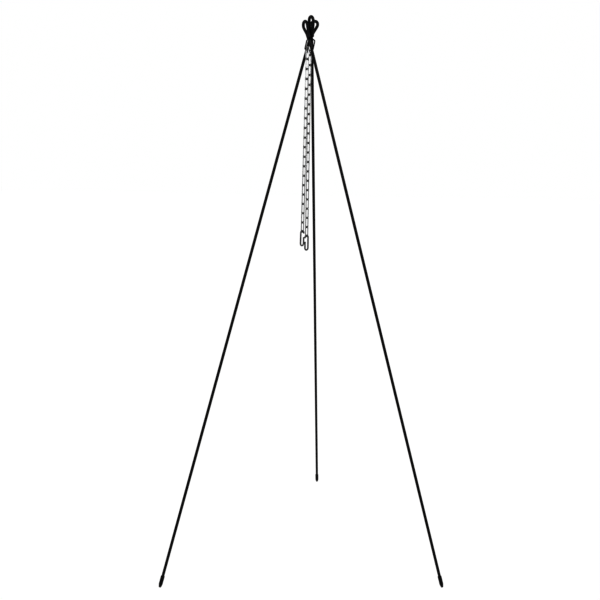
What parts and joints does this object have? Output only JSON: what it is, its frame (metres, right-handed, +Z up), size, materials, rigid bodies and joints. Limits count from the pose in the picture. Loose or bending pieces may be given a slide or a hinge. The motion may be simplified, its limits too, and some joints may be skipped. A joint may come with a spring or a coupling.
{
  "type": "campfire tripod with hanging chain",
  "caption": "Folding campfire tripod of eye-ended steel rods held by a ring, with a doubled long-link chain and long-armed hooks for hanging pots.",
  "frame": {"origin": "on the ground, at the middle of the rectangle round the three feet", "axes": "+Z up, -Y towards the front between the two front legs, +X towards the right leg"},
  "size_m": [0.8032, 0.7077, 1.5701],
  "materials": {
    "black_enamel": "semi-gloss black enamel on steel bar",
    "zinc": "bright zinc plating",
    "hook_steel": "dull grey zinc plating"
  },
  "bodies": {
    "ring": {"joining_ring": "black_enamel"},
    "leg_left": {"leg_left_rod": "black_enamel", "leg_left_eye": "black_enamel", "foot_ferrule_left": "black_enamel"},
    "leg_right": {"leg_right_rod": "black_enamel", "leg_right_eye": "black_enamel", "foot_ferrule_right": "black_enamel"},
    "leg_rear": {"leg_rear_rod": "black_enamel", "leg_rear_eye": "black_enamel", "foot_ferrule_rear": "black_enamel"},
    "middle_link": {"chain_middle_link": "zinc"},
    "left_link_01": {"chain_link_left_01": "zinc"},
    "left_link_02": {"chain_link_left_02": "zinc"},
    "left_link_03": {"chain_link_left_03": "zinc"},
    "left_link_04": {"chain_link_left_04": "zinc"},
    "left_link_05": {"chain_link_left_05": "zinc"},
    "left_link_06": {"chain_link_left_06": "zinc"},
    "left_link_07": {"chain_link_left_07": "zinc"},
    "left_link_08": {"chain_link_left_08": "zinc"},
    "left_link_09": {"chain_link_left_09": "zinc"},
    "left_link_10": {"chain_link_left_10": "zinc"},
    "left_link_11": {"chain_link_left_11": "zinc"},
    "left_link_12": {"chain_link_left_12": "zinc"},
    "left_link_13": {"chain_link_left_13": "zinc"},
    "left_link_14": {"chain_link_left_14": "zinc"},
    "left_link_15": {"chain_link_left_15": "zinc"},
    "left_link_16": {"chain_link_left_16": "zinc"},
    "left_link_17": {"chain_link_left_17": "zinc"},
    "left_link_18": {"chain_link_left_18": "zinc"},
    "left_link_19": {"chain_link_left_19": "zinc"},
    "left_hook": {"hook_left": "hook_steel"},
    "right_link_01": {"chain_link_right_01": "zinc"},
    "right_link_02": {"chain_link_right_02": "zinc"},
    "right_link_03": {"chain_link_right_03": "zinc"},
    "right_link_04": {"chain_link_right_04": "zinc"},
    "right_link_05": {"chain_link_right_05": "zinc"},
    "right_link_06": {"chain_link_right_06": "zinc"},
    "right_link_07": {"chain_link_right_07": "zinc"},
    "right_link_08": {"chain_link_right_08": "zinc"},
    "right_link_09": {"chain_link_right_09": "zinc"},
    "right_link_10": {"chain_link_right_10": "zinc"},
    "right_link_11": {"chain_link_right_11": "zinc"},
    "right_link_12": {"chain_link_right_12": "zinc"},
    "right_link_13": {"chain_link_right_13": "zinc"},
    "right_link_14": {"chain_link_right_14": "zinc"},
    "right_link_15": {"chain_link_right_15": "zinc"},
    "right_link_16": {"chain_link_right_16": "zinc"},
    "right_link_17": {"chain_link_right_17": "zinc"},
    "right_link_18": {"chain_link_right_18": "zinc"},
    "right_link_19": {"chain_link_right_19": "zinc"},
    "right_hook": {"hook_right": "hook_steel"}
  },
  "joints": [
    {"name": "fold_left", "type": "hinge", "parent": "ring", "child": "leg_left", "pos_m": [-0.00448, -0.0952, 1.52329], "axis": [0.5314, -0.8471, 0], "range_deg": [0, 14]},
    {"name": "fold_right", "type": "hinge", "parent": "ring", "child": "leg_right", "pos_m": [-0.01256, -0.11165, 1.52331], "axis": [0.4679, 0.8838, 0], "range_deg": [0, 14]},
    {"name": "fold_rear", "type": "hinge", "parent": "ring", "child": "leg_rear", "pos_m": [-0.00197, -0.11119, 1.5233], "axis": [-0.9912, 0.1323, 0], "range_deg": [0, 14]},
    {"name": "middle_link_swing", "type": "hinge", "parent": "ring", "child": "middle_link", "pos_m": [-0.00953, -0.13626, 1.476], "axis": [-0.9956, 0.0756, 0.0559], "range_deg": [-6, 6]},
    {"name": "left_swing_01", "type": "hinge", "parent": "middle_link", "child": "left_link_01", "pos_m": [-0.01366, -0.14553, 1.47781], "axis": [-0.3023, -0.6789, 0.6691], "range_deg": [-6, 20]},
    {"name": "left_swing_02", "type": "hinge", "parent": "left_link_01", "child": "left_link_02", "pos_m": [-0.013, -0.14339, 1.45111], "axis": [0.7071, -0.7071, -0.0072], "range_deg": [-4, 0]},
    {"name": "left_swing_03", "type": "hinge", "parent": "left_link_02", "child": "left_link_03", "pos_m": [-0.01327, -0.14339, 1.42511], "axis": [0.7071, 0.7071, -0.0072], "range_deg": [-20, 20]},
    {"name": "left_swing_04", "type": "hinge", "parent": "left_link_03", "child": "left_link_04", "pos_m": [-0.01353, -0.14339, 1.39911], "axis": [0.7071, -0.7071, -0.0072], "range_deg": [-4, 0]},
    {"name": "left_swing_05", "type": "hinge", "parent": "left_link_04", "child": "left_link_05", "pos_m": [-0.0138, -0.14339, 1.37311], "axis": [0.7071, 0.7071, -0.0072], "range_deg": [-20, 20]},
    {"name": "left_swing_06", "type": "hinge", "parent": "left_link_05", "child": "left_link_06", "pos_m": [-0.01406, -0.14339, 1.34712], "axis": [0.7071, -0.7071, -0.0072], "range_deg": [-4, 0]},
    {"name": "left_swing_07", "type": "hinge", "parent": "left_link_06", "child": "left_link_07", "pos_m": [-0.01433, -0.14339, 1.32112], "axis": [-0.7071, -0.7071, 0.0072], "range_deg": [-20, 20]},
    {"name": "left_swing_08", "type": "hinge", "parent": "left_link_07", "child": "left_link_08", "pos_m": [-0.0146, -0.14339, 1.29512], "axis": [0.7071, -0.7071, -0.0072], "range_deg": [-4, 0]},
    {"name": "left_swing_09", "type": "hinge", "parent": "left_link_08", "child": "left_link_09", "pos_m": [-0.01486, -0.14339, 1.26912], "axis": [-0.7071, -0.7071, 0.0072], "range_deg": [-20, 20]},
    {"name": "left_swing_10", "type": "hinge", "parent": "left_link_09", "child": "left_link_10", "pos_m": [-0.01512, -0.14339, 1.24312], "axis": [0.7071, -0.7071, -0.0072], "range_deg": [-4, 0]},
    {"name": "left_swing_11", "type": "hinge", "parent": "left_link_10", "child": "left_link_11", "pos_m": [-0.01539, -0.14339, 1.21712], "axis": [0.7071, 0.7071, -0.0072], "range_deg": [-20, 20]},
    {"name": "left_swing_12", "type": "hinge", "parent": "left_link_11", "child": "left_link_12", "pos_m": [-0.01566, -0.14339, 1.19112], "axis": [0.7071, -0.7071, -0.0072], "range_deg": [-4, 0]},
    {"name": "left_swing_13", "type": "hinge", "parent": "left_link_12", "child": "left_link_13", "pos_m": [-0.01592, -0.14339, 1.16512], "axis": [0.7071, 0.7071, -0.0072], "range_deg": [-20, 20]},
    {"name": "left_swing_14", "type": "hinge", "parent": "left_link_13", "child": "left_link_14", "pos_m": [-0.01619, -0.14339, 1.13913], "axis": [0.7071, -0.7071, -0.0072], "range_deg": [-4, 0]},
    {"name": "left_swing_15", "type": "hinge", "parent": "left_link_14", "child": "left_link_15", "pos_m": [-0.01645, -0.14339, 1.11313], "axis": [-0.7071, -0.7071, 0.0072], "range_deg": [-20, 20]},
    {"name": "left_swing_16", "type": "hinge", "parent": "left_link_15", "child": "left_link_16", "pos_m": [-0.01672, -0.14339, 1.08713], "axis": [0.7071, -0.7071, -0.0072], "range_deg": [-4, 0]},
    {"name": "left_swing_17", "type": "hinge", "parent": "left_link_16", "child": "left_link_17", "pos_m": [-0.01698, -0.14339, 1.06113], "axis": [-0.7071, -0.7071, 0.0072], "range_deg": [-20, 20]},
    {"name": "left_swing_18", "type": "hinge", "parent": "left_link_17", "child": "left_link_18", "pos_m": [-0.01725, -0.14339, 1.03513], "axis": [0.7071, -0.7071, -0.0072], "range_deg": [-4, 0]},
    {"name": "left_swing_19", "type": "hinge", "parent": "left_link_18", "child": "left_link_19", "pos_m": [-0.01751, -0.14339, 1.00913], "axis": [0.7071, 0.7071, -0.0072], "range_deg": [-20, 20]},
    {"name": "left_hook_swing", "type": "hinge", "parent": "left_link_19", "child": "left_hook", "pos_m": [-0.01778, -0.14339, 0.98313], "axis": [-0.7071, 0.7071, 0.0072], "range_deg": [0, 40]},
    {"name": "right_swing_01", "type": "hinge", "parent": "middle_link", "child": "right_link_01", "pos_m": [-0.0063, -0.129, 1.46307], "axis": [-0.4067, -0.9135, 0], "range_deg": [-6, 20]},
    {"name": "right_swing_02", "type": "hinge", "parent": "right_link_01", "child": "right_link_02", "pos_m": [-0.00624, -0.129, 1.43727], "axis": [-0.7071, 0.7071, -0.0013], "range_deg": [-4, 0]},
    {"name": "right_swing_03", "type": "hinge", "parent": "right_link_02", "child": "right_link_03", "pos_m": [-0.0062, -0.129, 1.41127], "axis": [0.7071, 0.7071, 0.0013], "range_deg": [-20, 20]},
    {"name": "right_swing_04", "type": "hinge", "parent": "right_link_03", "child": "right_link_04", "pos_m": [-0.00615, -0.129, 1.38527], "axis": [-0.7071, 0.7071, -0.0013], "range_deg": [-4, 0]},
    {"name": "right_swing_05", "type": "hinge", "parent": "right_link_04", "child": "right_link_05", "pos_m": [-0.0061, -0.129, 1.35927], "axis": [0.7071, 0.7071, 0.0013], "range_deg": [-20, 20]},
    {"name": "right_swing_06", "type": "hinge", "parent": "right_link_05", "child": "right_link_06", "pos_m": [-0.00606, -0.129, 1.33327], "axis": [-0.7071, 0.7071, -0.0013], "range_deg": [-4, 0]},
    {"name": "right_swing_07", "type": "hinge", "parent": "right_link_06", "child": "right_link_07", "pos_m": [-0.00601, -0.129, 1.30727], "axis": [-0.7071, -0.7071, -0.0013], "range_deg": [-20, 20]},
    {"name": "right_swing_08", "type": "hinge", "parent": "right_link_07", "child": "right_link_08", "pos_m": [-0.00596, -0.129, 1.28127], "axis": [-0.7071, 0.7071, -0.0013], "range_deg": [-4, 0]},
    {"name": "right_swing_09", "type": "hinge", "parent": "right_link_08", "child": "right_link_09", "pos_m": [-0.00592, -0.129, 1.25527], "axis": [-0.7071, -0.7071, -0.0013], "range_deg": [-20, 20]},
    {"name": "right_swing_10", "type": "hinge", "parent": "right_link_09", "child": "right_link_10", "pos_m": [-0.00587, -0.129, 1.22927], "axis": [-0.7071, 0.7071, -0.0013], "range_deg": [-4, 0]},
    {"name": "right_swing_11", "type": "hinge", "parent": "right_link_10", "child": "right_link_11", "pos_m": [-0.00582, -0.129, 1.20327], "axis": [0.7071, 0.7071, 0.0013], "range_deg": [-20, 20]},
    {"name": "right_swing_12", "type": "hinge", "parent": "right_link_11", "child": "right_link_12", "pos_m": [-0.00578, -0.129, 1.17727], "axis": [-0.7071, 0.7071, -0.0013], "range_deg": [-4, 0]},
    {"name": "right_swing_13", "type": "hinge", "parent": "right_link_12", "child": "right_link_13", "pos_m": [-0.00573, -0.129, 1.15127], "axis": [0.7071, 0.7071, 0.0013], "range_deg": [-20, 20]},
    {"name": "right_swing_14", "type": "hinge", "parent": "right_link_13", "child": "right_link_14", "pos_m": [-0.00568, -0.129, 1.12527], "axis": [-0.7071, 0.7071, -0.0013], "range_deg": [-4, 0]},
    {"name": "right_swing_15", "type": "hinge", "parent": "right_link_14", "child": "right_link_15", "pos_m": [-0.00564, -0.129, 1.09927], "axis": [-0.7071, -0.7071, -0.0013], "range_deg": [-20, 20]},
    {"name": "right_swing_16", "type": "hinge", "parent": "right_link_15", "child": "right_link_16", "pos_m": [-0.00559, -0.129, 1.07327], "axis": [-0.7071, 0.7071, -0.0013], "range_deg": [-4, 0]},
    {"name": "right_swing_17", "type": "hinge", "parent": "right_link_16", "child": "right_link_17", "pos_m": [-0.00554, -0.129, 1.04727], "axis": [-0.7071, -0.7071, -0.0013], "range_deg": [-20, 20]},
    {"name": "right_swing_18", "type": "hinge", "parent": "right_link_17", "child": "right_link_18", "pos_m": [-0.00549, -0.129, 1.02127], "axis": [-0.7071, 0.7071, -0.0013], "range_deg": [-4, 0]},
    {"name": "right_swing_19", "type": "hinge", "parent": "right_link_18", "child": "right_link_19", "pos_m": [-0.00545, -0.129, 0.99527], "axis": [0.7071, 0.7071, 0.0013], "range_deg": [-20, 20]},
    {"name": "right_hook_swing", "type": "hinge", "parent": "right_link_19", "child": "right_hook", "pos_m": [-0.0054, -0.129, 0.96927], "axis": [0.7071, -0.7071, 0.0013], "range_deg": [0, 40]}
  ],
  "couplings": [
    {"joint": "fold_right", "follows": "fold_left", "ratio": 1},
    {"joint": "fold_rear", "follows": "fold_left", "ratio": 1}
  ]
}
